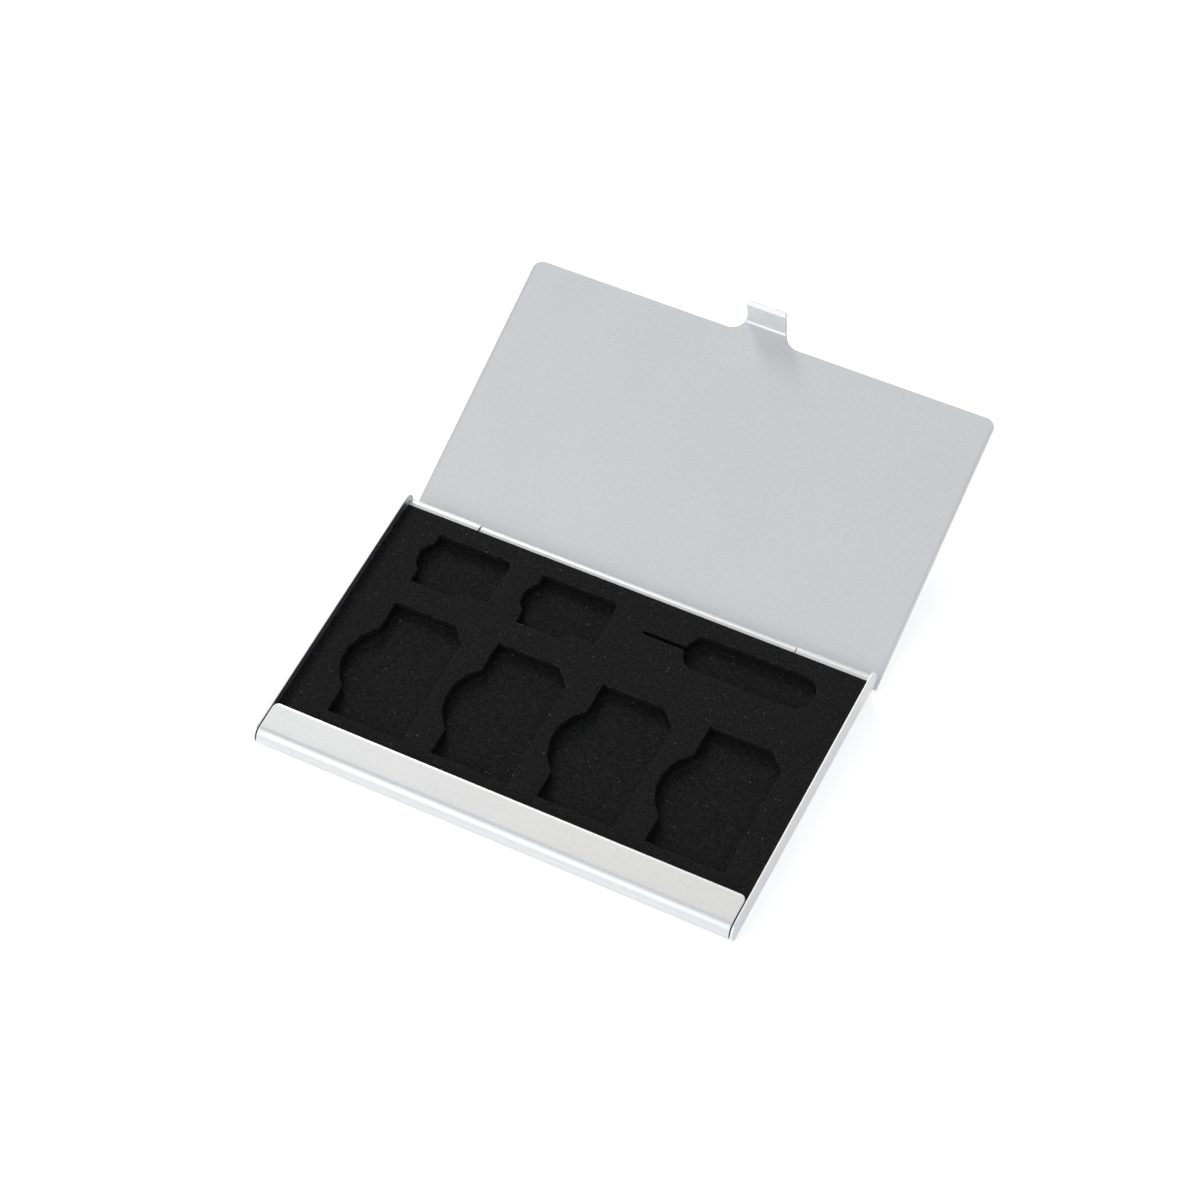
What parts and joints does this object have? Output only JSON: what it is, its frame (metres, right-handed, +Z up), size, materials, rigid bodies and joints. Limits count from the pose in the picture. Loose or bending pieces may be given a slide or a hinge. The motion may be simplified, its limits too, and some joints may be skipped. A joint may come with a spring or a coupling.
{
  "type": "sim card case",
  "caption": "Flat folded-metal pocket case with a hinged lid, spring latch tab, rolled front edge and black foam insert cut for phone cards and an eject pin.",
  "frame": {"origin": "middle of the tray's flat underside", "axes": "+X along the hinge, +Y from the front roll to the hinge, +Z up out of the tray"},
  "size_m": [0.094, 0.1127, 0.0211],
  "materials": {
    "aluminium": "fine satin, anodised silver",
    "steel": "drawn wire",
    "black_foam": "fine closed-cell foam, matt",
    "black_sheet": "matt black sheet",
    "clear_film": "thin adhesive film"
  },
  "bodies": {
    "tray_body": {"tray": "aluminium", "hinge_pin": "steel", "foam_insert": "black_foam", "foam_backing": "black_sheet", "adhesive_film": "clear_film"},
    "lid_body": {"lid": "aluminium"}
  },
  "joints": [
    {"name": "lid_hinge", "type": "hinge", "parent": "tray_body", "child": "lid_body", "pos_m": [0, 0.0275, 0.00125], "axis": [1, 0, 0], "range_deg": [0, 163.7]}
  ]
}
